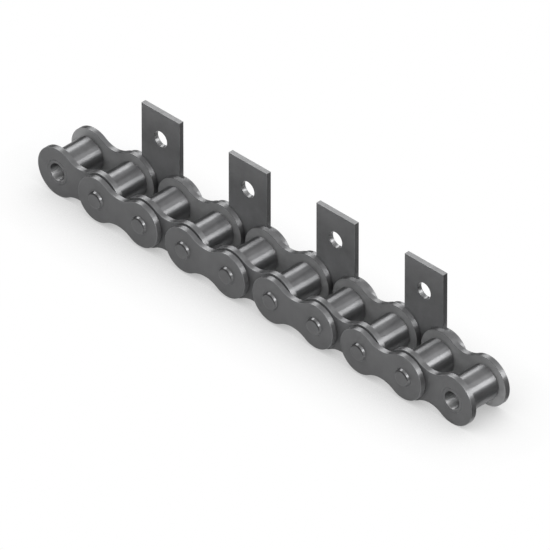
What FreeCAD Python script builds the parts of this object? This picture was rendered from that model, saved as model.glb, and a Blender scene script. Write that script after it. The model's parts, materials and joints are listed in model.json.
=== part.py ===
import FreeCAD, Part
import math
import os

import Sketcher

# Strand of roller chain with upright attachments, for light conveying
#
# Five inner links and four outer links follow each other along X. An inner link is two plates pressed
# onto two bushes, each with a loose roller. An outer link is two plates riveted onto two pins, which turn
# in the bushes. The far plate (+Y) of every outer link rises into a flat tab with one hole, where a slat
# or carrier is fastened.
# Millimetres. Z is up, with zero at the lowest point of the inner plates, and X = Y = 0 at the middle of
# the strand.

INNER_LINKS = 5
PINS = 2 * INNER_LINKS

SIZES = {
    # pitch: distance from pin centre to pin centre
    "pitch": 19.05,
    # clear width between the two plates of an inner link
    "inner_width": 12.7,
    "inner_plate_thickness": 1.9,
    "outer_plate_thickness": 1.9,
    # gap between the face of an inner plate and the outer plate beside it
    "side_clearance": 0.15,
    # plate outlines: a round lobe about each pin, joined by hollow waist arcs
    "inner_lobe_radius": 8.65,
    "inner_waist_radius": 8.9,
    "outer_lobe_radius": 7.87,
    "outer_waist_radius": 10.2,
    # pin, bush and roller, one inside the other
    "pin_diameter": 5.94,
    "pin_running_clearance": 0.05,
    "bush_diameter": 8.4,
    "roller_running_clearance": 0.08,
    "roller_diameter": 11.91,
    "roller_end_float": 0.15,
    "roller_edge": 0.5,
    "bush_edge": 0.25,
    # the pin's end stands out of the outer plate, where riveting has spread it and rounded its rim, and the
    # hole is eased on that side into a small conical seat that the head fills
    "pin_projection": 0.95,
    "rivet_spread": 0.12,
    "rivet_edge": 0.3,
    "rivet_seat": 0.15,
    # upright tab: its heights are measured from the pin centreline
    "tab_width": 16.6,
    "tab_height": 28.2,
    "tab_hole_height": 18.3,
    "tab_hole_diameter": 5.7,
}

# Sizes that follow from the ones above
DERIVED = {
    "pin_height": "=inner_lobe_radius",
    "bush_bore": "=pin_diameter + 2 * pin_running_clearance",
    "bush_length": "=inner_width + 2 * inner_plate_thickness",
    "roller_bore": "=bush_diameter + 2 * roller_running_clearance",
    "roller_length": "=inner_width - 2 * roller_end_float",
    "inner_plate_offset": "=(inner_width + inner_plate_thickness) / 2",
    "outer_plate_inside": "=inner_width / 2 + inner_plate_thickness + side_clearance",
    "outer_plate_offset": "=outer_plate_inside + outer_plate_thickness / 2",
    "outer_face": "=outer_plate_inside + outer_plate_thickness",
    "pin_end": "=outer_face + pin_projection",
    "rivet_diameter": "=pin_diameter + 2 * rivet_spread",
}

doc = FreeCAD.newDocument("attachment_chain")
sheet = doc.addObject("Spreadsheet::Sheet", "Sizes")
for row, (name, content) in enumerate([*SIZES.items(), *DERIVED.items()], start=1):
    sheet.set("A%d" % row, name)
    sheet.set("B%d" % row, str(content))
    sheet.setAlias("B%d" % row, name)
doc.recompute()

pieces = []
UP = FreeCAD.Vector(0, 0, 1)

# How a sketch's constraints name its own origin and axes, and the points of an edge
ORIGIN = (-1, 1)
HORIZONTAL_AXIS = -1
VERTICAL_AXIS = -2
START, END, CENTRE = 1, 2, 3


# Helpers: a body in its place, a sketch on one of its planes, and corners tied to the sheet

def new_body(name, x_place, y_place, z_place):
    body = doc.addObject("PartDesign::Body", name)
    body.Label = name
    body.setExpression("Placement.Base.x", x_place)
    body.setExpression("Placement.Base.y", y_place)
    body.setExpression("Placement.Base.z", z_place)
    pieces.append(body)
    return body


def new_sketch(body, name, plane_role):
    plane = [feature for feature in body.Origin.OriginFeatures if feature.Role == plane_role][0]
    sketch = body.newObject("Sketcher::SketchObject", name)
    sketch.AttachmentSupport = (plane, [""])
    sketch.MapMode = "FlatFace"
    return sketch


def worked_out(expression):
    """The number that an expression in the sheet's names has now."""
    return float(sheet.evalExpression(expression))


def sized(sketch, kind, *where, size):
    """Adds a dimension that follows an expression in the sheet's names."""
    number = sketch.addConstraint(Sketcher.Constraint(kind, *where, worked_out(size)))
    sketch.setExpression("Constraints[%d]" % number, size)


def locate(sketch, geometry, point, across, along):
    """Dimensions a point from the sketch's origin. A distance of "0" puts it on the axis itself."""
    if across == "0":
        sketch.addConstraint(Sketcher.Constraint("PointOnObject", geometry, point, VERTICAL_AXIS))
    else:
        sized(sketch, "DistanceX", *ORIGIN, geometry, point, size=across)
    if along == "0":
        sketch.addConstraint(Sketcher.Constraint("PointOnObject", geometry, point, HORIZONTAL_AXIS))
    else:
        sized(sketch, "DistanceY", *ORIGIN, geometry, point, size=along)


def polygon(sketch, corners):
    """Closed outline through corners whose two coordinates are written in the sheet's names."""
    places = [FreeCAD.Vector(worked_out(across), worked_out(along), 0) for across, along in corners]
    count = len(places)
    for i in range(count):
        sketch.addGeometry(Part.LineSegment(places[i], places[(i + 1) % count]), False)
    for i in range(count):
        sketch.addConstraint(Sketcher.Constraint("Coincident", i, END, (i + 1) % count, START))
    for i, (across, along) in enumerate(corners):
        locate(sketch, i, START, across, along)


# Link plates, blanked from strip: a round lobe about each pin and hollow waists between them

def figure_eight(sketch, lobe, waist):
    """Outline of four arcs that run smoothly into each other. lobe and waist are the two radii."""
    half_pitch = worked_out("Sizes.pitch / 2")
    lobe_radius = worked_out(lobe)
    waist_radius = worked_out(waist)
    waist_height = math.sqrt((lobe_radius + waist_radius) ** 2 - half_pitch ** 2)
    lean = math.atan2(waist_height, half_pitch)
    left = Part.Circle(FreeCAD.Vector(-half_pitch, 0, 0), UP, lobe_radius)
    right = Part.Circle(FreeCAD.Vector(half_pitch, 0, 0), UP, lobe_radius)
    above = Part.Circle(FreeCAD.Vector(0, waist_height, 0), UP, waist_radius)
    below = Part.Circle(FreeCAD.Vector(0, -waist_height, 0), UP, waist_radius)
    # left lobe, lower waist, right lobe, upper waist
    sketch.addGeometry(Part.ArcOfCircle(left, lean, 2 * math.pi - lean), False)
    sketch.addGeometry(Part.ArcOfCircle(below, lean, math.pi - lean), False)
    sketch.addGeometry(Part.ArcOfCircle(right, lean - math.pi, math.pi - lean), False)
    sketch.addGeometry(Part.ArcOfCircle(above, math.pi + lean, 2 * math.pi - lean), False)
    # each arc is tangent to the next where they meet
    sketch.addConstraint(Sketcher.Constraint("Tangent", 0, END, 1, END))
    sketch.addConstraint(Sketcher.Constraint("Tangent", 1, START, 2, START))
    sketch.addConstraint(Sketcher.Constraint("Tangent", 2, END, 3, END))
    sketch.addConstraint(Sketcher.Constraint("Tangent", 3, START, 0, START))
    locate(sketch, 0, CENTRE, "-Sizes.pitch / 2", "0")
    locate(sketch, 2, CENTRE, "Sizes.pitch / 2", "0")
    for arc, radius in enumerate([lobe, waist, lobe, waist]):
        sized(sketch, "Radius", arc, size=radius)


def pad_sheet(body, sketch, name, thickness):
    """Gives an outline the plate's thickness, half to each side of the plate's middle plane."""
    pad = body.newObject("PartDesign::Pad", name)
    pad.Profile = sketch
    pad.Midplane = True
    pad.setExpression("Length", thickness)
    pad.Refine = True


def punch_hole(body, name, thickness, x_place, z_place, diameter):
    """Round hole through the plate. A place of "0" lies on the plate's own centreline."""
    sketch = new_sketch(body, name + "_sketch", "XZ_Plane")
    centre = FreeCAD.Vector(worked_out(x_place), worked_out(z_place), 0)
    radius = diameter + " / 2"
    sketch.addGeometry(Part.Circle(centre, UP, worked_out(radius)), False)
    locate(sketch, 0, CENTRE, x_place, z_place)
    sized(sketch, "Radius", 0, size=radius)
    pocket = body.newObject("PartDesign::Pocket", name)
    pocket.Profile = sketch
    pocket.Midplane = True
    pocket.setExpression("Length", "2 * " + thickness)
    pocket.Refine = True


def blank(name, kind, x_place, y_place):
    """A plate before its holes. kind is inner or outer and picks the outline and the thickness."""
    body = new_body(name, x_place, y_place, "Sizes.pin_height")
    outline = new_sketch(body, name + "_outline", "XZ_Plane")
    figure_eight(outline, "Sizes.%s_lobe_radius" % kind, "Sizes.%s_waist_radius" % kind)
    pad_sheet(body, outline, name + "_plate", "Sizes.%s_plate_thickness" % kind)
    return body


def hole_pair(body, thickness, diameter):
    punch_hole(body, body.Name + "_left_hole", thickness, "-Sizes.pitch / 2", "0", diameter)
    punch_hole(body, body.Name + "_right_hole", thickness, "Sizes.pitch / 2", "0", diameter)


def rivet_seat(body, name, x_place, side):
    """Conical seat round a pin hole, in the outer face. side is - for a near plate and + for a far one."""
    sketch = new_sketch(body, name + "_section", "XY_Plane")
    rim = x_place + " + Sizes.pin_diameter / 2"
    face = side + "Sizes.outer_plate_thickness / 2"
    depth = "%s(Sizes.outer_plate_thickness / 2 - Sizes.rivet_seat)" % side
    polygon(sketch, [(rim, face), (rim + " + Sizes.rivet_seat", face), (rim, depth)])
    foot = FreeCAD.Vector(worked_out(x_place), 0, 0)
    tip = FreeCAD.Vector(worked_out(x_place), worked_out("Sizes.pitch"), 0)
    axis = sketch.addGeometry(Part.LineSegment(foot, tip), True)
    locate(sketch, axis, START, x_place, "0")
    locate(sketch, axis, END, x_place, "Sizes.pitch")
    groove = body.newObject("PartDesign::Groove", name)
    groove.Profile = sketch
    groove.ReferenceAxis = (sketch, ["Axis0"])
    groove.Angle = 360


def seat_pair(body, side):
    rivet_seat(body, body.Name + "_left_seat", "-Sizes.pitch / 2", side)
    rivet_seat(body, body.Name + "_right_seat", "Sizes.pitch / 2", side)


def inner_plate(name, x_place, y_place):
    body = blank(name, "inner", x_place, y_place)
    hole_pair(body, "Sizes.inner_plate_thickness", "Sizes.bush_diameter")


def outer_plate(name, x_place, y_place):
    body = blank(name, "outer", x_place, y_place)
    hole_pair(body, "Sizes.outer_plate_thickness", "Sizes.pin_diameter")
    seat_pair(body, "-")


def attachment_plate(name, x_place, y_place):
    """Outer plate whose middle rises into a square-cornered tab, all in one piece of strip."""
    thickness = "Sizes.outer_plate_thickness"
    body = blank(name, "outer", x_place, y_place)
    tab = new_sketch(body, name + "_tab_outline", "XZ_Plane")
    left = "-Sizes.tab_width / 2"
    right = "Sizes.tab_width / 2"
    polygon(tab, [(left, "0"), (right, "0"), (right, "Sizes.tab_height"), (left, "Sizes.tab_height")])
    pad_sheet(body, tab, name + "_tab", thickness)
    hole_pair(body, thickness, "Sizes.pin_diameter")
    seat_pair(body, "+")
    punch_hole(body, name + "_tab_hole", thickness, "0", "Sizes.tab_hole_height", "Sizes.tab_hole_diameter")


# Turned pieces: half the section is drawn in the XY plane and turned about Y, the direction of the pins

def turned(name, x_place, half_section):
    """half_section lists (radius, distance along Y) from the -Y end to the +Y end, mirrored about Y = 0."""
    body = new_body(name, x_place, "0", "Sizes.pin_height")
    sketch = new_sketch(body, name + "_section", "XY_Plane")
    near = [(radius, "-(%s)" % along) for radius, along in half_section]
    far = list(reversed(half_section))
    polygon(sketch, near + far)
    turn = body.newObject("PartDesign::Revolution", name + "_turned")
    turn.Profile = sketch
    turn.ReferenceAxis = (sketch, ["V_Axis"])
    turn.Angle = 360


def ring(name, x_place, bore, outside, length, edge):
    """Tube whose outer rims are broken by a small bevel."""
    inner = "Sizes.%s / 2" % bore
    outer = "Sizes.%s / 2" % outside
    end = "Sizes.%s / 2" % length
    bevel = "Sizes." + edge
    turned(name, x_place, [(inner, end), (outer + " - " + bevel, end), (outer, end + " - " + bevel)])


def bush(name, x_place):
    ring(name, x_place, "bush_bore", "bush_diameter", "bush_length", "bush_edge")


def roller(name, x_place):
    ring(name, x_place, "roller_bore", "roller_diameter", "roller_length", "roller_edge")


def pin(name, x_place):
    """Plain shank through the link, and at each end a low riveted head that fills the plate's seat."""
    shank = "Sizes.pin_diameter / 2"
    head = "Sizes.rivet_diameter / 2"
    end = "Sizes.pin_end"
    edge = "Sizes.rivet_edge"
    half_section = [("0", end), (head + " - " + edge, end), (head, end + " - " + edge)]
    half_section += [(head, "Sizes.outer_face"), (shank, "Sizes.outer_face - Sizes.rivet_spread")]
    turned(name, x_place, half_section)


# The strand: pins are numbered from 1 at the -X end, and links stand midway between their pins

def pin_place(number):
    return "Sizes.pitch * %g" % (number - (PINS + 1) / 2)


def link_place(first_pin):
    return "Sizes.pitch * %g" % (first_pin - PINS / 2)


for link in range(1, INNER_LINKS + 1):
    middle = link_place(2 * link - 1)
    inner_plate("inner_plate_near_%d" % link, middle, "-Sizes.inner_plate_offset")
    inner_plate("inner_plate_far_%d" % link, middle, "Sizes.inner_plate_offset")

for number in range(1, PINS + 1):
    bush("bush_%d" % number, pin_place(number))
    roller("roller_%d" % number, pin_place(number))

for link in range(1, INNER_LINKS):
    middle = link_place(2 * link)
    outer_plate("outer_plate_%d" % link, middle, "-Sizes.outer_plate_offset")
    attachment_plate("attachment_plate_%d" % link, middle, "Sizes.outer_plate_offset")

for number in range(2, PINS):
    pin("pin_%d" % number, pin_place(number))

doc.recompute()

# Every feature has to be sound before anything is written
for feature in doc.Objects:
    if "Invalid" in feature.State or "Error" in feature.State:
        raise RuntimeError("feature failed: " + feature.Name)
for piece in pieces:
    if piece.Shape.isNull() or not piece.Shape.isValid() or len(piece.Shape.Solids) != 1:
        raise RuntimeError("piece is not one sound solid: " + piece.Label)

os.makedirs("parts", exist_ok=True)
for piece in pieces:
    piece.Shape.exportStep("parts/%s.step" % piece.Label)
print(len(pieces), "pieces written")
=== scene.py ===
# %% [markdown]
# A strand of conveyor chain in oiled dark steel, ten pitches long, standing on a pale table. The sizes and
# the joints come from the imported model, and this script gives each piece its finished shape and its
# surface. Every piece is one of six kinds (roller, bush, pin and three kinds of plate), so six pieces are
# modelled with care and the rest are copies of them.

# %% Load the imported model
import bpy
import json
import math
from mathutils import Matrix, Vector


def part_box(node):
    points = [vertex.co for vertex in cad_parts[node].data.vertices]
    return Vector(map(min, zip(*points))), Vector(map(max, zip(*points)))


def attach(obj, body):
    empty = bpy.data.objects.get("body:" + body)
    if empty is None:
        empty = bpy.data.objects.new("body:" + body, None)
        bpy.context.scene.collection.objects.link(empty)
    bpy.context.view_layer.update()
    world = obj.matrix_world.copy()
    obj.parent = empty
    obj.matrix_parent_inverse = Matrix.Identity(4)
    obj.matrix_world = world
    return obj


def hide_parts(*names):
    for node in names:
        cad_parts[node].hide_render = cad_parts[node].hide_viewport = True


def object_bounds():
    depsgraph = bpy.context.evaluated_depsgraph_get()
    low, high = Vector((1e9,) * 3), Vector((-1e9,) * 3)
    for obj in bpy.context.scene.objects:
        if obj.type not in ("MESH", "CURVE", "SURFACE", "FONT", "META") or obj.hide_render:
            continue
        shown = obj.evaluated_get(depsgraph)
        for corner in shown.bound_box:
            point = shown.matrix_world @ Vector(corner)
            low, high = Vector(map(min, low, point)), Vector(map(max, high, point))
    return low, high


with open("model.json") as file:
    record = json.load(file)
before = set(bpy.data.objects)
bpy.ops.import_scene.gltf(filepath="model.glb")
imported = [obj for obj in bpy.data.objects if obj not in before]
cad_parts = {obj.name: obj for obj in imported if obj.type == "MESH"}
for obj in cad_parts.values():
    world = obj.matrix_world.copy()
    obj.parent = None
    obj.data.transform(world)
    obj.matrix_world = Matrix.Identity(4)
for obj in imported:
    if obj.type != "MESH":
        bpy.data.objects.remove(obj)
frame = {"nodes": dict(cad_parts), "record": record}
cad_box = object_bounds()
print("nodes to dress:", len(frame["nodes"]))

# %% [markdown]
# First the sizes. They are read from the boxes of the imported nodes, so a change of pitch or plate height
# arrives here by itself. Only what a box can't tell, such as the radius of the plates' hollow waists or the
# width of a tab, is written as a value of its own. Blender works in metres, and MM turns a size in
# millimetres into metres.

# %% Sizes
MM = 0.001
ROLLERS = 10
INNER_LINKS = 5
OUTER_LINKS = 4


def middle(node):
    low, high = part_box(node)
    return (Vector(low) + Vector(high)) / 2


def extent(node):
    low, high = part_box(node)
    return Vector(high) - Vector(low)


PITCH = middle("roller_2").x - middle("roller_1").x
PIN_HEIGHT = middle("roller_1").z
PLATE = extent("inner_plate_near_1").y
INNER_LOBE = extent("inner_plate_near_1").z / 2
OUTER_LOBE = extent("outer_plate_1").z / 2
ROLLER = extent("roller_1")
BUSH = extent("bush_1")
PIN = extent("pin_2")
TAB_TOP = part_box("attachment_plate_1")[1][2] - PIN_HEIGHT
INNER_WAIST = 8.9 * MM
OUTER_WAIST = 10.2 * MM
TAB_WIDTH = 16.6 * MM
TAB_HOLE_HEIGHT = 18.3 * MM
TAB_HOLE = 5.7 * MM
PIN_SHANK = 5.94 * MM
BUSH_BORE = 6.04 * MM
ROLLER_BORE = 8.56 * MM
print("pitch %.2f mm, pin centreline %.2f mm high" % (PITCH / MM, PIN_HEIGHT / MM))

# %% [markdown]
# The picture is an isometric one: the camera looks down along a cube's diagonal, from the right and the
# front. A very long lens far away gives that flat, parallel look, and still lets other views step back for
# the whole strand. The picture is 550 pixels square, one pitch measures 62 of them along the strand's true
# length, and the middle of the strand lies a little left of the picture's middle.

# %% Camera
PICTURE = 550
PIXELS_PER_PITCH = 62.0
STRAND_MIDDLE_X = 272.15
STRAND_MIDDLE_Y = 274.6
LENS = 1400.0
SENSOR = 36.0
NEAREST_SEEN = 0.1
FARTHEST_SEEN = 30

pixel = PITCH / PIXELS_PER_PITCH
to_camera = Vector((1, -1, 1)).normalized()
to_right = Vector((1, 1, 0)).normalized()
to_top = to_camera.cross(to_right)
aim = Vector((0, 0, PIN_HEIGHT))
aim += to_right * (PICTURE / 2 - STRAND_MIDDLE_X) * pixel
aim -= to_top * (PICTURE / 2 - STRAND_MIDDLE_Y) * pixel
distance = PICTURE * pixel * LENS / SENSOR

camera_data = bpy.data.cameras.new("camera")
camera_data.lens = LENS
camera_data.sensor_width = SENSOR
camera_data.clip_start = NEAREST_SEEN
camera_data.clip_end = FARTHEST_SEEN
camera = bpy.data.objects.new("camera", camera_data)
bpy.context.collection.objects.link(camera)
camera.location = aim + to_camera * distance
camera.rotation_mode = "QUATERNION"
camera.rotation_quaternion = (-to_camera).to_track_quat("-Z", "Y")
bpy.context.scene.camera = camera
print("camera distance %.2f m" % distance)

# %% [markdown]
# Steel shows its surroundings more than its own colour, so the room counts as much as the lamps do. It is
# plain white where it is seen, directly or in a reflection, and gives only a little light of its own. Light
# Path tells a shader what kind of ray asks, and a few Math nodes make a brightness of that.

# %% White room
AMBIENT = 0.12

bpy.context.scene.view_settings.view_transform = "Standard"


def where_seen(tree):
    """1 on rays that show the background, directly, in gloss or through glass, and 0 on the others."""
    path = tree.nodes.new("ShaderNodeLightPath")
    value = path.outputs["Is Camera Ray"]
    for ray in ("Is Glossy Ray", "Is Transmission Ray"):
        either = tree.nodes.new("ShaderNodeMath")
        either.operation = "MAXIMUM"
        tree.links.new(value, either.inputs[0])
        tree.links.new(path.outputs[ray], either.inputs[1])
        value = either.outputs[0]
    return value


def linear(tree, value, factor, addend):
    """value times factor plus addend."""
    step = tree.nodes.new("ShaderNodeMath")
    step.operation = "MULTIPLY_ADD"
    step.inputs[1].default_value = factor
    step.inputs[2].default_value = addend
    tree.links.new(value, step.inputs[0])
    return step.outputs[0]


room = bpy.data.worlds.new("white_room")
bpy.context.scene.world = room
room.use_nodes = True
background = room.node_tree.nodes["Background"]
background.inputs["Color"].default_value = (1, 1, 1, 1)
strength = linear(room.node_tree, where_seen(room.node_tree), 1 - AMBIENT, AMBIENT)
room.node_tree.links.new(strength, background.inputs["Strength"])
print("the room lights the strand at", AMBIENT, "of its white")

# %% [markdown]
# The lamps are planned for what the curved surfaces mirror. Looking from the camera, the top of each roller
# mirrors the space behind and to the left of the strand, and its right-hand side the space to the right. A
# long soft box in each of those places, parallel to the pins, draws the two bright bands along the rollers,
# and a weak one above the right-hand box lets its band fade out slowly. A fourth box beside the camera
# lights the flat faces.

# %% Soft boxes
STRIP_DISTANCE = 1.35
STRIP_LENGTH = 2.5
STRIP_MIDDLE = 0.30


def soft_box(name, place, aim, length, width, brightness):
    """A lamp as a flat panel; its brightness is given as a white room's would be, where 1 is white."""
    lamp = bpy.data.lights.new(name, "AREA")
    lamp.shape = "RECTANGLE"
    lamp.size = length
    lamp.size_y = width
    lamp.energy = brightness * math.pi * length * width
    panel = bpy.data.objects.new(name, lamp)
    bpy.context.collection.objects.link(panel)
    panel.location = place
    panel.rotation_mode = "QUATERNION"
    panel.rotation_quaternion = (Vector(aim) - Vector(place)).to_track_quat("-Z", "Y")


def strip_box(name, angle, width, brightness):
    """A long soft box beside the strand and parallel to its pins, at an angle up from +X in degrees."""
    across = STRIP_DISTANCE * math.cos(math.radians(angle))
    up = STRIP_DISTANCE * math.sin(math.radians(angle))
    soft_box(name, (across, STRIP_MIDDLE, up), (0, STRIP_MIDDLE, 0), STRIP_LENGTH, width, brightness)


strip_box("strip_box_left", angle=133, width=0.64, brightness=3.6)
strip_box("strip_box_right", angle=33, width=0.60, brightness=5.6)
strip_box("strip_box_above", angle=60, width=0.50, brightness=1.0)
soft_box("fill_box_front", place=(0.45, -1.10, 0.85), aim=(0, 0, 0), length=1.0, width=0.8, brightness=0.7)
print("soft boxes:", len(bpy.data.lights))

# %% [markdown]
# The floor is a pale matt sheet that throws the lamps' light back up under the strand. Far from the strand
# the lamps fade, so the sheet turns over into the plain white of the room, and its rim can't be made out.
# Three small helpers start here. start() clears the selection, because an operator works on whatever is
# selected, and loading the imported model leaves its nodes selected. between() and mixed() add a Map Range and
# a Mix Shader node with their links.

# %% Floor
FLOOR_SIZE = 1.8
FLOOR_WHITE = 0.86
FLOOR_ROUGHNESS = 0.9
FLOOR_GLOSS = 0.1
FLOOR_GLOW = 0.17
FADE_FROM = 0.30
FADE_TO = 0.85


def start():
    bpy.ops.object.select_all(action="DESELECT")


def between(tree, value, low, high, start_at, end_at):
    """Turns a value from start_at to end_at into one from low to high, which it doesn't leave."""
    ramp = tree.nodes.new("ShaderNodeMapRange")
    ramp.inputs["From Min"].default_value = start_at
    ramp.inputs["From Max"].default_value = end_at
    ramp.inputs["To Min"].default_value = low
    ramp.inputs["To Max"].default_value = high
    tree.links.new(value, ramp.inputs["Value"])
    return ramp.outputs["Result"]


def mixed(tree, share, first, second):
    """A shader that is the first where the share is 0 and the second where it is 1."""
    mix = tree.nodes.new("ShaderNodeMixShader")
    tree.links.new(share, mix.inputs["Fac"])
    tree.links.new(first, mix.inputs[1])
    tree.links.new(second, mix.inputs[2])
    return mix.outputs["Shader"]


start()
bpy.ops.mesh.primitive_plane_add(size=FLOOR_SIZE, location=(0, 0, 0))
floor = bpy.context.object
floor.name = "floor"
pale = bpy.data.materials.new("pale_matt_floor")
pale.use_nodes = True
floor.data.materials.append(pale)
tree = pale.node_tree
sheet = tree.nodes["Principled BSDF"]
sheet.inputs["Base Color"].default_value = (FLOOR_WHITE, FLOOR_WHITE, FLOOR_WHITE, 1)
sheet.inputs["Roughness"].default_value = FLOOR_ROUGHNESS
sheet.inputs["Specular IOR Level"].default_value = FLOOR_GLOSS
sheet.inputs["Emission Color"].default_value = (1, 1, 1, 1)
seen = where_seen(tree)
tree.links.new(linear(tree, seen, FLOOR_GLOW, 0), sheet.inputs["Emission Strength"])

far_white = tree.nodes.new("ShaderNodeEmission")
tree.links.new(linear(tree, seen, 1 - AMBIENT, AMBIENT), far_white.inputs["Strength"])
place = tree.nodes.new("ShaderNodeTexCoord")
from_middle = tree.nodes.new("ShaderNodeVectorMath")
from_middle.operation = "LENGTH"
tree.links.new(place.outputs["Object"], from_middle.inputs[0])
fade = between(tree, from_middle.outputs["Value"], 0, 1, FADE_FROM, FADE_TO)
upper_side = mixed(tree, fade, sheet.outputs["BSDF"], far_white.outputs["Emission"])
print("floor %.1f m square, white from %.2f m on" % (FLOOR_SIZE, FADE_TO))

# %% [markdown]
# A strand that bends dips below the table, and there the sheet would hide its links. So the camera sees
# through the sheet, and so does every ray that comes from below. What the camera does see of it is the soft
# shade beside the strand, which an Ambient Occlusion node finds by looking a few centimetres up from each
# spot. A second one looks down, and clears the shade off the links that have dipped.

# %% Shade on the floor
SHADE_REACH = 24 * MM
SHADE_DEPTH = 0.62
OPEN_SKY = 0.95
CLEARING = 100 * MM
OPEN_GROUND = 0.90
OPENNESS_SAMPLES = 8


def openness(tree, reach, inside):
    """1 where nothing is near above a surface, or below it with inside, and less where something is."""
    cover = tree.nodes.new("ShaderNodeAmbientOcclusion")
    cover.samples = OPENNESS_SAMPLES
    cover.inside = inside
    cover.inputs["Distance"].default_value = reach
    return cover.outputs["AO"]


sky = openness(tree, SHADE_REACH, inside=False)
ground_below = openness(tree, CLEARING, inside=True)
shade = between(tree, sky, low=1 - SHADE_DEPTH, high=1, start_at=0, end_at=OPEN_SKY)
cleared = between(tree, ground_below, low=1, high=1, start_at=OPEN_GROUND, end_at=1)
tree.links.new(shade, cleared.node.inputs["To Max"])
shaded_glass = tree.nodes.new("ShaderNodeBsdfTransparent")
tree.links.new(cleared, shaded_glass.inputs["Color"])

side = tree.nodes.new("ShaderNodeNewGeometry")
clear_glass = tree.nodes.new("ShaderNodeBsdfTransparent")
open_below = mixed(tree, side.outputs["Backfacing"], upper_side, clear_glass.outputs["BSDF"])
ray = tree.nodes.new("ShaderNodeLightPath")
see_through = mixed(tree, ray.outputs["Is Camera Ray"], open_below, shaded_glass.outputs["BSDF"])
tree.links.new(see_through, tree.nodes["Material Output"].inputs["Surface"])
floor.visible_shadow = False
print("shade %.0f mm wide beside the strand" % (SHADE_REACH / MM))

# %% [markdown]
# Polished edges look crisp where something dark is mirrored beside something bright. Photographers stand a
# black card, a flag, just outside the picture for that. One stands at the left under the soft box and draws
# a dark line along the upper left of every lobe. A second one lies at the right-hand end of the strand and
# rises a little away from it, so that the last roller and the last lobes have a dark line under their
# bright one. Along the strand each roller has its neighbour for that. The camera doesn't see the cards,
# from any side, and the second one lies so close that only mirror rays may see it.

# %% Black flags
FLAG_BLACK = 0.01
FLAG_ROUGHNESS = 0.9
LEFT_FLAG_PLACE = (-1.25, 0.3, 0.38)
LEFT_FLAG_SIZE = (0.70, 2.8)
LOW_FLAG_GAP = 1.6 * MM
LOW_FLAG_LIFT = 0.8 * MM
LOW_FLAG_RUN = 220 * MM
LOW_FLAG_RISE = 54.2 * MM
LOW_FLAG_WIDTH = 260 * MM
LOW_FLAG_Y = 100 * MM

black = bpy.data.materials.new("black_card")
black.use_nodes = True
card_shader = black.node_tree.nodes["Principled BSDF"]
card_shader.inputs["Base Color"].default_value = (FLAG_BLACK, FLAG_BLACK, FLAG_BLACK, 1)
card_shader.inputs["Roughness"].default_value = FLAG_ROUGHNESS


def black_flag(name, place, turn, size):
    """A black card, turned about Y, that the camera doesn't see and that casts no shadow."""
    start()
    bpy.ops.mesh.primitive_plane_add(size=1, location=place, rotation=(0, turn, 0))
    card = bpy.context.object
    card.name = name
    card.scale = (size[0], size[1], 1)
    card.visible_camera = False
    card.visible_shadow = False
    card.data.materials.append(black)
    return card


black_flag("black_flag_left", LEFT_FLAG_PLACE, math.pi / 2, LEFT_FLAG_SIZE)
low_flag_x = cad_box[1][0] + LOW_FLAG_GAP + LOW_FLAG_RUN / 2
low_flag_place = (low_flag_x, LOW_FLAG_Y, LOW_FLAG_LIFT + LOW_FLAG_RISE / 2)
low_flag_turn = -math.atan2(LOW_FLAG_RISE, LOW_FLAG_RUN)
low_flag_size = (math.hypot(LOW_FLAG_RUN, LOW_FLAG_RISE), LOW_FLAG_WIDTH)
low_flag = black_flag("black_flag_right", low_flag_place, low_flag_turn, low_flag_size)
low_flag.visible_diffuse = False
print("black cards at x = %.2f m and %.2f m" % (LEFT_FLAG_PLACE[0], low_flag_x))

# %% [markdown]
# The steel. The plates are blanked from strip, hardened, blackened and tumbled, so their faces are an even
# dark grey with a very fine grain, and more matt than bare metal. Rollers and pins are ground, which leaves
# rings round the axis. A steel here is a Principled shader with three patterns from noise: slow clouds in
# its colour, a fine one in its roughness, and the same fine one as a bump a few thousandths of a millimetre
# deep. A pattern is stretched by giving the noise unequal scales: small along the streak and large across
# it. Most of a noise lies between 0.25 and 0.75, so those two become the lowest and the highest value.

# %% Steel
NOISE_LOW = 0.25
NOISE_HIGH = 0.75
NOISE_ROUGHNESS = 0.65
CLOUDS_PER_METRE = 220.0
CLOUD_DETAIL = 7.0
CLOUD_CHANGE = 0.16
GRAINS_PER_METRE = 1000.0
GRAIN_DETAIL = 4.0
ROUGHNESS_CHANGE = 0.03


def noise(tree, stretch, scale, detail):
    """Noise on the piece's own coordinates, stretched where the three parts of stretch differ."""
    place = tree.nodes.new("ShaderNodeTexCoord")
    mapping = tree.nodes.new("ShaderNodeMapping")
    mapping.inputs["Scale"].default_value = stretch
    pattern = tree.nodes.new("ShaderNodeTexNoise")
    pattern.inputs["Scale"].default_value = scale
    pattern.inputs["Detail"].default_value = detail
    pattern.inputs["Roughness"].default_value = NOISE_ROUGHNESS
    tree.links.new(place.outputs["Object"], mapping.inputs["Vector"])
    tree.links.new(mapping.outputs["Vector"], pattern.inputs["Vector"])
    return pattern.outputs["Fac"]


def spread(tree, pattern, value, change):
    """A noise pattern as a value that varies up and down by a change."""
    return between(tree, pattern, value - change, value + change, NOISE_LOW, NOISE_HIGH)


def scaled_color(tree, color, share):
    """A colour, made darker or lighter by a share that changes over the surface."""
    scale = tree.nodes.new("ShaderNodeVectorMath")
    scale.operation = "SCALE"
    if isinstance(color, tuple):
        scale.inputs[0].default_value = color
    else:
        tree.links.new(color, scale.inputs[0])
    tree.links.new(share, scale.inputs["Scale"])
    return scale.outputs["Vector"]


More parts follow.
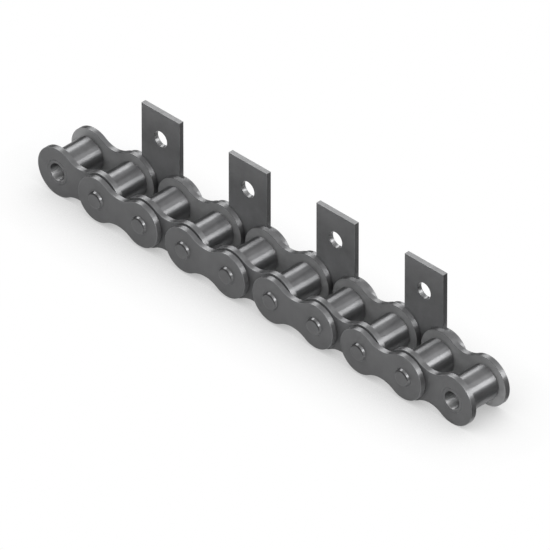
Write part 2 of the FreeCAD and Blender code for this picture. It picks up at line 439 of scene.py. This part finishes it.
def steel(name, color, metallic, roughness, stretch, depth):
    """Dark steel. metallic is low for a blackened matt skin; depth is its fine pattern's, in metres."""
    made = bpy.data.materials.new(name)
    made.use_nodes = True
    tree = made.node_tree
    bsdf = tree.nodes["Principled BSDF"]
    bsdf.inputs["Metallic"].default_value = metallic
    clouds = noise(tree, (1, 1, 1), CLOUDS_PER_METRE, CLOUD_DETAIL)
    share = spread(tree, clouds, 1, CLOUD_CHANGE)
    tree.links.new(scaled_color(tree, color, share), bsdf.inputs["Base Color"])
    fine = noise(tree, stretch, GRAINS_PER_METRE, GRAIN_DETAIL)
    tree.links.new(spread(tree, fine, roughness, ROUGHNESS_CHANGE), bsdf.inputs["Roughness"])
    bump = tree.nodes.new("ShaderNodeBump")
    bump.inputs["Strength"].default_value = 1.0
    bump.inputs["Distance"].default_value = depth
    tree.links.new(fine, bump.inputs["Height"])
    tree.links.new(bump.outputs["Normal"], bsdf.inputs["Normal"])
    return made


# %% [markdown]
# Ground rings are finer than a pixel, and what the eye sees of them is that a highlight is drawn out along
# the axis. That is what Anisotropic does. Its direction is the tangent, here round the Y axis and then
# turned by a quarter.

# %% Grinding
QUARTER_TURN = 0.25


def ground(material, strength):
    """Draws the highlights of a round piece out along its axis, as grinding does."""
    tree = material.node_tree
    bsdf = tree.nodes["Principled BSDF"]
    bsdf.inputs["Anisotropic"].default_value = strength
    bsdf.inputs["Anisotropic Rotation"].default_value = QUARTER_TURN
    around = tree.nodes.new("ShaderNodeTangent")
    around.direction_type = "RADIAL"
    around.axis = "Y"
    tree.links.new(around.outputs["Tangent"], bsdf.inputs["Tangent"])


# %% [markdown]
# Painted light and shade change a steel's colour from place to place, so each kind is a function that scales
# the colour which is there already. A piece's own height and the way its surface faces are both read from
# Texture Coordinate, in the piece's own directions, so a link that swings keeps its painted light and shade.
# The plate edges that face sideways are painted darker, as painted shade, and those that face up or down
# keep their colour. Low on the lobes the sideways edges get less of that painted shade, and the edges of the
# tabs are all painted a little darker. So the colour of the plate edges depends on how far they face up or
# down, and on their height.

# %% Painted light and shade on the plate edges
LOBES_END = PIN_HEIGHT + 8 * MM
TABS_BEGIN = PIN_HEIGHT + 11 * MM
SIDEWAYS = 0.15
UPRIGHT = 0.60
LOBE_END_PAINTED_LIGHT = 0.5
TAB_PAINTED_SHADE_SHARE = 0.80


def own_coordinate(tree, kind, axis):
    """One axis of a piece's own coordinates (Object) or of the way its surface faces (Normal)."""
    source = tree.nodes.new("ShaderNodeTexCoord")
    split = tree.nodes.new("ShaderNodeSeparateXYZ")
    tree.links.new(source.outputs[kind], split.inputs["Vector"])
    return split.outputs[axis]


def scale_base_color(material, share):
    """Makes a material's colour darker or lighter by a share that changes over the surface."""
    tree = material.node_tree
    base = tree.nodes["Principled BSDF"].inputs["Base Color"]
    tree.links.new(scaled_color(tree, base.links[0].from_socket, share), base)


def paint_edge_light_and_shade(material, painted_shade_of_sides):
    """Paints shade on the edges that face sideways, less of it low on the lobes, and paints the tabs' edges
    darker.
    """
    tree = material.node_tree
    height = own_coordinate(tree, "Object", "Z")
    upright = tree.nodes.new("ShaderNodeMath")
    upright.operation = "ABSOLUTE"
    tree.links.new(own_coordinate(tree, "Normal", "Z"), upright.inputs[0])
    painted_light_level = tree.nodes.new("ShaderNodeMath")
    painted_light_level.operation = "MAXIMUM"
    tree.links.new(upright.outputs[0], painted_light_level.inputs[0])
    tree.links.new(between(tree, height, LOBE_END_PAINTED_LIGHT, 0, LOBES_END, TABS_BEGIN), painted_light_level.inputs[1])
    scale_base_color(material, between(tree, painted_light_level.outputs[0], painted_shade_of_sides, 1, SIDEWAYS, UPRIGHT))
    scale_base_color(material, between(tree, height, 1, TAB_PAINTED_SHADE_SHARE, LOBES_END, TABS_BEGIN))


# %% [markdown]
# On an attachment plate's inner side, the foot of the tab is painted lighter, as painted light where the
# plates beside it shade it.

# %% Painted light on the tab's foot
FOOT_LIGHT_TOP = PIN_HEIGHT + 17 * MM


def paint_light_on_foot(material, foot_light_share):
    """Paints light on the foot of the tab, fading out higher up."""
    height = own_coordinate(material.node_tree, "Object", "Z")
    share = between(material.node_tree, height, foot_light_share, 1, LOBES_END, FOOT_LIGHT_TOP)
    scale_base_color(material, share)


# %% [markdown]
# The colour is also scaled by how far a surface faces up. On the rounded rim of a riveted head the upper
# side is painted dark, as painted shade, and further round the steel keeps its colour. In a bore it is the
# other way round: the upper wall is painted dark, as painted shade, and the lower wall keeps its colour.

# %% Painted shade by slope


def shade_by_slope(material, share_below, share_above, start_at, end_at):
    """Scales the colour by how far a surface faces up: the shares hold below start_at and above end_at."""
    upward = own_coordinate(material.node_tree, "Normal", "Z")
    share = between(material.node_tree, upward, share_below, share_above, start_at, end_at)
    scale_base_color(material, share)


# %% [markdown]
# The finishes themselves, each with its colour, how metallic and how rough it is, and the stretch and the
# depth of its fine pattern. The inner plates' inside faces are painted much lighter, as painted light that
# lifts them out of the shade between the plates, and the attachment plates' inside faces a little lighter.
# The hole in each tab is reamed, and the bore of a bush is honed, so that it mirrors the soft boxes in bands
# like the roller's; the bore is also painted much lighter than the other ground steel, as painted light
# inside the dark tube. Where a face meets an edge, tumbling has worn the corner bright.

# %% Finishes
GRAIN = (4.0, 4.0, 4.0)
SHEARED = (3.0, 0.15, 3.0)
GROUND = (0.05, 4.0, 0.05)

face_steel = steel("plate_face_steel", (0.083, 0.084, 0.086), 0.15, 0.48, GRAIN, 2.0e-6)
# painted light: the inner plates' inside faces, in the shade between the plates, are made much lighter
painted_light_inner_steel = steel("inner_face_painted_light_steel", (0.315, 0.317, 0.320), 0.20, 0.42, GRAIN, 1.5e-6)
# painted light: the attachment plate's inside face is a little lighter than the outer faces
painted_light_tab_steel = steel("tab_inside_painted_light_steel", (0.104, 0.105, 0.107), 0.15, 0.48, GRAIN, 2.0e-6)
edge_steel = steel("plate_edge_steel", (0.172, 0.173, 0.176), 0.70, 0.44, SHEARED, 3.0e-6)
worn_steel = steel("worn_corner_steel", (0.160, 0.162, 0.165), 0.85, 0.32, GRAIN, 1.0e-6)
# painted light: the bore is much lighter than the other ground steel, against the shade inside the tube
honed_steel = steel("honed_bore_steel", (0.400, 0.402, 0.406), 0.90, 0.48, GROUND, 0.5e-6)
reamed_steel = steel("reamed_hole_steel", (0.180, 0.181, 0.184), 0.50, 0.24, GROUND, 1.0e-6)
roller_steel = steel("roller_steel", (0.165, 0.166, 0.169), 0.80, 0.40, GROUND, 0.5e-6)
pin_steel = steel("pin_steel", (0.160, 0.161, 0.164), 0.80, 0.30, GROUND, 0.5e-6)
bush_steel = steel("bush_steel", (0.120, 0.121, 0.123), 0.60, 0.36, GROUND, 0.8e-6)
rim_steel = steel("pin_rim_steel", (0.098, 0.099, 0.101), 0.15, 0.50, GRAIN, 1.0e-6)

# painted shade on the sideways edges and on the tabs' edges, less of it low on the lobes
paint_edge_light_and_shade(edge_steel, painted_shade_of_sides=0.42)
# painted light on the tab's foot, where the plates and rollers beside it shade it
paint_light_on_foot(painted_light_tab_steel, foot_light_share=1.75)
# painted shade: the upward-facing part of the pin's rim is painted nearly black
shade_by_slope(rim_steel, share_below=1, share_above=0.03, start_at=0.02, end_at=0.12)
# painted shade: the upper walls of the tab holes and of the bush bores are painted darker
shade_by_slope(reamed_steel, share_below=0.20, share_above=1, start_at=0.05, end_at=0.45)
shade_by_slope(honed_steel, share_below=0.20, share_above=1, start_at=-0.10, end_at=0.40)
for drawn_out in (edge_steel, roller_steel, honed_steel):
    ground(drawn_out, strength=1.0)
for round_steel in (pin_steel, bush_steel):
    ground(round_steel, strength=0.9)
print("materials:", len(bpy.data.materials))

# %% [markdown]
# A few helpers keep the modelling steps short. In edit mode, pick() selects the vertices, edges or faces
# that pass a test on their place or normal, as a hand would with the mouse. A face whose normal points
# along Y is an end of a round piece or a side of a plate, and one whose normal has no Y part runs round it.

# %% Helpers for modelling
import bmesh

TINY = 0.01 * MM
FLAT = 0.99
EDGEWISE = 0.01
SMOOTH_ANGLE = math.radians(35)
ALONG_Y = (math.pi / 2, 0, 0)


def edit(kind):
    bpy.ops.object.mode_set(mode="EDIT")
    bpy.ops.mesh.select_mode(type=kind)


def pick(kind, test):
    """Selects in edit mode what passes the test."""
    mesh = bmesh.from_edit_mesh(bpy.context.object.data)
    for part in (mesh.verts, mesh.edges, mesh.faces):
        for item in part:
            item.select = False
    for item in {"VERT": mesh.verts, "EDGE": mesh.edges, "FACE": mesh.faces}[kind]:
        if test(item):
            item.select_set(True)
    mesh.select_flush_mode()
    bmesh.update_edit_mesh(bpy.context.object.data)


def round_edges(width, steps):
    bpy.ops.mesh.bevel(offset=width, offset_type="OFFSET", segments=steps, affect="EDGES")


def off_axis(point):
    return math.hypot(point.x, point.z)


def finish_piece(name, finishes):
    """Leaves edit mode, smooths the round surfaces, keeps the flat ones flat and gives the finishes."""
    piece = bpy.context.object
    piece.name = name
    bpy.ops.object.mode_set(mode="OBJECT")
    bpy.ops.object.shade_smooth_by_angle(angle=SMOOTH_ANGLE)
    bpy.ops.object.modifier_add(type="WEIGHTED_NORMAL")
    piece.modifiers[-1].keep_sharp = True
    bpy.ops.object.modifier_apply(modifier=piece.modifiers[-1].name)
    for finish in finishes:
        piece.data.materials.append(finish)
    print(name, "faces:", len(piece.data.polygons))
    return piece


# %% [markdown]
# The roller and the bush are tubes. Each starts as a cylinder along Y: both ends are inset down to the
# bore, the two inner discs are bridged into a tunnel, and the edges are rounded with a bevel. All round
# pieces are modelled about the middle of the frame and moved to their pins as copies.

# %% Roller and bush
ROLLER_ROUNDING = 0.45 * MM
BORE_ROUNDING = 0.15 * MM
BUSH_ROUNDING = 0.15 * MM
BORE_WALL_REACH = BUSH_BORE / 2 + 0.1 * MM
ROLLER_SIDES = 128
ROD_SIDES = 96


def on_rim(edge, radius, length):
    """True for an edge of the circle of that radius at either end of a round piece of that length."""
    one, other = edge.verts[0].co, edge.verts[1].co
    same_end = abs(one.y - other.y) < TINY and abs(abs(one.y) - length / 2) < TINY
    return same_end and abs(off_axis(one) - radius) < TINY and abs(off_axis(other) - radius) < TINY


def tube(name, radius, bore, length, rounding, sides, finishes):
    start()
    bpy.ops.mesh.primitive_cylinder_add(vertices=sides, radius=radius, depth=length, rotation=ALONG_Y)
    bpy.ops.object.transform_apply(location=True, rotation=True, scale=True)
    edit("FACE")
    pick("FACE", lambda face: abs(face.normal.y) > FLAT)
    bpy.ops.mesh.inset(thickness=radius - bore)
    bpy.ops.mesh.bridge_edge_loops()
    bpy.ops.mesh.select_mode(type="EDGE")
    pick("EDGE", lambda edge: on_rim(edge, radius, length))
    round_edges(rounding, steps=4)
    pick("EDGE", lambda edge: on_rim(edge, bore, length))
    round_edges(BORE_ROUNDING, steps=2)
    return finish_piece(name, finishes)


roller_model = tube("roller_model", ROLLER.x / 2, ROLLER_BORE / 2, ROLLER.y, ROLLER_ROUNDING, ROLLER_SIDES,
                    [roller_steel])
bush_model = tube("bush_model", BUSH.x / 2, BUSH_BORE / 2, BUSH.y, BUSH_ROUNDING, ROD_SIDES,
                  [bush_steel, face_steel, honed_steel])
for face in bush_model.data.polygons:
    if abs(face.normal.y) > FLAT:
        face.material_index = 1
    elif off_axis(face.center) < BORE_WALL_REACH:
        face.material_index = 2

# %% [markdown]
# The pin is a ground rod. A riveting press has spun its two ends over the outer plates, which spread each
# end into a low head: a little wider than the rod where it sits in the plate's small conical seat, with a
# leaning side, a rounded rim and a flat end. The rod is cut into rings near its ends, and each ring is
# scaled in turn. The side leans in by SIDE_LEAN, so that it mirrors the room and not the plate. The rim is
# a quarter of an ellipse, RIM_WIDTH wide on the end and RIM_HEIGHT deep.

# %% Pin
OUTER_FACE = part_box("attachment_plate_1")[1][1]
SEAT_DEPTH = 0.12 * MM
SIDE_LEAN = 0.32 * MM
RIM_WIDTH = 0.64 * MM
RIM_HEIGHT = 0.30 * MM
RIM_STEPS = 6
FLAT_END = 0.999


def cut_rings(height):
    for side in (-1, 1):
        bpy.ops.mesh.select_all(action="SELECT")
        bpy.ops.mesh.bisect(plane_co=(0, side * height, 0), plane_no=(0, 1, 0))


def scale_ring(height, radius):
    """Gives the rings at that distance to both sides of the pin's middle a new radius."""
    pick("VERT", lambda vert: abs(abs(vert.co.y) - height) < TINY)
    share = radius / (PIN_SHANK / 2)
    bpy.ops.transform.resize(value=(share, 1, share), center_override=(0, 0, 0))


rim = []
for step in range(RIM_STEPS + 1):
    turn = math.pi / 2 * step / RIM_STEPS
    height = PIN.y / 2 - RIM_HEIGHT * (1 - math.sin(turn))
    rim.append((height, PIN.x / 2 - SIDE_LEAN - RIM_WIDTH * (1 - math.cos(turn))))

start()
bpy.ops.mesh.primitive_cylinder_add(vertices=ROD_SIDES, radius=PIN_SHANK / 2, depth=PIN.y, rotation=ALONG_Y)
bpy.ops.object.transform_apply(location=True, rotation=True, scale=True)
edit("VERT")
for height in (OUTER_FACE - SEAT_DEPTH, OUTER_FACE, *[height for height, radius in rim[:-1]]):
    cut_rings(height)
scale_ring(OUTER_FACE, PIN.x / 2)
for height, radius in rim:
    scale_ring(height, radius)
pin_model = finish_piece("pin_model", [pin_steel, face_steel, rim_steel])
for face in pin_model.data.polygons:
    if abs(face.normal.y) > FLAT_END:
        face.material_index = 1
    elif abs(face.center.y) > PIN.y / 2 - RIM_HEIGHT:
        face.material_index = 2

# %% [markdown]
# A link plate is a flat outline with a thickness. Its outline is drawn the way the press tool's maker would
# scribe it: one point is swept round a centre to draw an arc, then round the next centre, and so on until
# it closes. Each lobe is centred on a pin, and each waist on a point straight above or below the middle of
# the link, so that lobe and waist meet without a corner. The spin operator does that sweep.

# %% Outline of a plate
LOBE_STEPS = 72
WAIST_STEPS = 20


def first_point(x, z):
    """A plane shrunk to one vertex, at the back of the plate's thickness."""
    start()
    bpy.ops.mesh.primitive_plane_add(size=MM, location=(0, 0, 0))
    edit("VERT")
    bpy.ops.mesh.select_all(action="SELECT")
    bpy.ops.mesh.merge(type="CENTER")
    bpy.ops.mesh.select_all(action="SELECT")
    bpy.ops.transform.translate(value=(x, -PLATE / 2, z))


def sweep(centre_x, centre_z, angle, steps):
    """Draws an arc from the selected point; a positive angle is anticlockwise, seen from the front."""
    bpy.ops.mesh.spin(steps=steps, angle=angle, center=(centre_x, 0, centre_z), axis=(0, 1, 0))


def line_by(x, z):
    bpy.ops.mesh.extrude_region_move(TRANSFORM_OT_translate={"value": (x, 0, z)})


def lean_of(lobe, waist):
    """Angle above the horizontal of the line from a lobe's centre to the waist's centre."""
    return math.acos(PITCH / 2 / (lobe + waist))


def figure_eight(lobe, waist):
    """The closed outline of a plain link plate, clockwise from the middle of its upper waist."""
    lean = lean_of(lobe, waist)
    centre = (lobe + waist) * math.sin(lean)
    first_point(0, centre - waist)
    sweep(0, centre, math.pi / 2 - lean, WAIST_STEPS // 2)
    sweep(PITCH / 2, 0, 2 * lean - 2 * math.pi, LOBE_STEPS)
    sweep(0, -centre, math.pi - 2 * lean, WAIST_STEPS)
    sweep(-PITCH / 2, 0, 2 * lean - 2 * math.pi, LOBE_STEPS)
    sweep(0, centre, math.pi / 2 - lean, WAIST_STEPS // 2)


def tabbed_eight(lobe, waist, width, top):
    """The outline of an attachment plate, clockwise from the tab's upper right corner."""
    lean = lean_of(lobe, waist)
    centre = (lobe + waist) * math.sin(lean)
    aside = (PITCH - width) / 2
    root = math.sqrt(lobe ** 2 - aside ** 2)
    upright = math.atan2(root, -aside)
    first_point(width / 2, top)
    line_by(0, root - top)
    sweep(PITCH / 2, 0, lean - math.pi - upright, LOBE_STEPS)
    sweep(0, -centre, math.pi - 2 * lean, WAIST_STEPS)
    sweep(-PITCH / 2, 0, lean - math.pi - upright, LOBE_STEPS)
    line_by(0, top - root)
    line_by(width, 0)


# %% [markdown]
# With the outline closed, the holes are added as circles, the space between is filled and the sheet is
# extruded to its thickness. A press rounds the edges on the side where the punch enters and leaves the
# other side sharper, so the two sides get bevels of different widths. Four finishes meet on a plate: the
# tumbled faces, the streaked sheared edge, the thin corner between them, which rubbing has worn bright, and
# the walls of the holes. The inner side gets a fifth one.

# %% From outline to plate
ROLLOVER = 0.16 * MM
SHARP_SIDE = 0.07 * MM
HOLE_SIDES = 72
HOLE_EDGE = 1.5 * ROLLOVER
SAME_PLANE = math.radians(1)
PLATE_FINISHES = (face_steel, edge_steel, worn_steel, reamed_steel)
FACE, EDGE, CORNER, HOLE_WALL, INNER_SIDE = range(5)


def hole(x, z, diameter):
    bpy.ops.mesh.primitive_circle_add(vertices=HOLE_SIDES, radius=diameter / 2, location=(x, -PLATE / 2, z),
                                      rotation=ALONG_Y)


def on_corner(edge, side):
    """True where a face of the plate meets its edge, on the side whose Y has the given sign."""
    if len(edge.link_faces) != 2 or any(abs(v.co.y - side * PLATE / 2) > TINY for v in edge.verts):
        return False
    flatness = sorted(abs(face.normal.y) for face in edge.link_faces)
    return flatness[0] < EDGEWISE and flatness[1] > FLAT


def in_hole(point, holes):
    """True for a point on a hole's wall or on its eased rim."""
    distances = [math.hypot(point.x - x, point.z - z) - diameter / 2 for x, z, diameter in holes]
    return min(distances) < HOLE_EDGE


def finish_of(face, holes):
    """Which of the plate's finishes a face of its mesh gets."""
    flatness = abs(face.normal.y)
    if flatness > FLAT:
        return INNER_SIDE if face.normal.y > 0 else FACE
    if in_hole(face.center, holes):
        return HOLE_WALL if flatness < EDGEWISE else FACE
    return EDGE if flatness < EDGEWISE else CORNER


def plate_from_outline(name, holes, inner_side):
    bpy.ops.mesh.select_all(action="SELECT")
    bpy.ops.mesh.remove_doubles(threshold=TINY / 10)
    for x, z, diameter in holes:
        hole(x, z, diameter)
    bpy.ops.mesh.select_all(action="SELECT")
    bpy.ops.mesh.fill()
    bpy.ops.mesh.dissolve_limited(angle_limit=SAME_PLANE)
    bpy.ops.mesh.select_all(action="SELECT")
    bpy.ops.mesh.extrude_region_move(TRANSFORM_OT_translate={"value": (0, PLATE, 0)})
    bpy.ops.mesh.select_all(action="SELECT")
    bpy.ops.mesh.normals_make_consistent(inside=False)
    bpy.ops.mesh.select_mode(type="EDGE")
    pick("EDGE", lambda edge: on_corner(edge, -1))
    round_edges(ROLLOVER, steps=3)
    pick("EDGE", lambda edge: on_corner(edge, 1))
    round_edges(SHARP_SIDE, steps=2)
    piece = finish_piece(name, [*PLATE_FINISHES, inner_side])
    for face in piece.data.polygons:
        face.material_index = finish_of(face, holes)
    return piece


# %% [markdown]
# The three kinds of plate. The inner plate's holes hold its bushes and the outer plates' holes hold their
# pins. The attachment plate is an outer plate whose outline grows on into the tab, with one more hole.

# %% Plates
figure_eight(INNER_LOBE, INNER_WAIST)
bush_holes = [(-PITCH / 2, 0, BUSH.x), (PITCH / 2, 0, BUSH.x)]
# the inside faces get the painted light finish
inner_plate_model = plate_from_outline("inner_plate_model", bush_holes, painted_light_inner_steel)

figure_eight(OUTER_LOBE, OUTER_WAIST)
pin_holes = [(-PITCH / 2, 0, PIN_SHANK), (PITCH / 2, 0, PIN_SHANK)]
outer_plate_model = plate_from_outline("outer_plate_model", pin_holes, face_steel)

tabbed_eight(OUTER_LOBE, OUTER_WAIST, TAB_WIDTH, TAB_TOP)
tab_holes = pin_holes + [(0, TAB_HOLE_HEIGHT, TAB_HOLE)]
# its inside face gets the painted light finish
attachment_plate_model = plate_from_outline("attachment_plate_model", tab_holes, painted_light_tab_steel)

# %% [markdown]
# Now the strand is assembled. Each copy gets a mesh of its own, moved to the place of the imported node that
# it stands for, and rides on that node's body so that it moves with the link or the roller. Plates on the
# far side are turned round, so that their rounded side faces outwards too. At the end the six models are
# removed.

# %% Assembly


def body_of_node(node):
    for body, members in frame["record"]["behaviour"]["bodies"].items():
        if node in members:
            return body
    raise KeyError(node)


def assemble(model, node, turned=False):
    piece = model.copy()
    piece.data = model.data.copy()
    piece.name = "finished_" + node
    bpy.context.collection.objects.link(piece)
    spot = middle(node)
    spot.z = PIN_HEIGHT
    turn = Matrix.Rotation(math.pi if turned else 0, 4, "Z")
    piece.data.transform(Matrix.Translation(spot) @ turn)
    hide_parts(node)
    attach(piece, body_of_node(node))


start()
for link in range(1, INNER_LINKS + 1):
    assemble(inner_plate_model, "inner_plate_near_%d" % link)
    assemble(inner_plate_model, "inner_plate_far_%d" % link, turned=True)
for link in range(1, OUTER_LINKS + 1):
    assemble(outer_plate_model, "outer_plate_%d" % link)
    assemble(attachment_plate_model, "attachment_plate_%d" % link, turned=True)
for number in range(1, ROLLERS + 1):
    assemble(bush_model, "bush_%d" % number)
    assemble(roller_model, "roller_%d" % number)
for number in range(2, ROLLERS):
    assemble(pin_model, "pin_%d" % number)
plate_models = [inner_plate_model, outer_plate_model, attachment_plate_model]
for model in (*plate_models, bush_model, roller_model, pin_model):
    bpy.data.objects.remove(model)
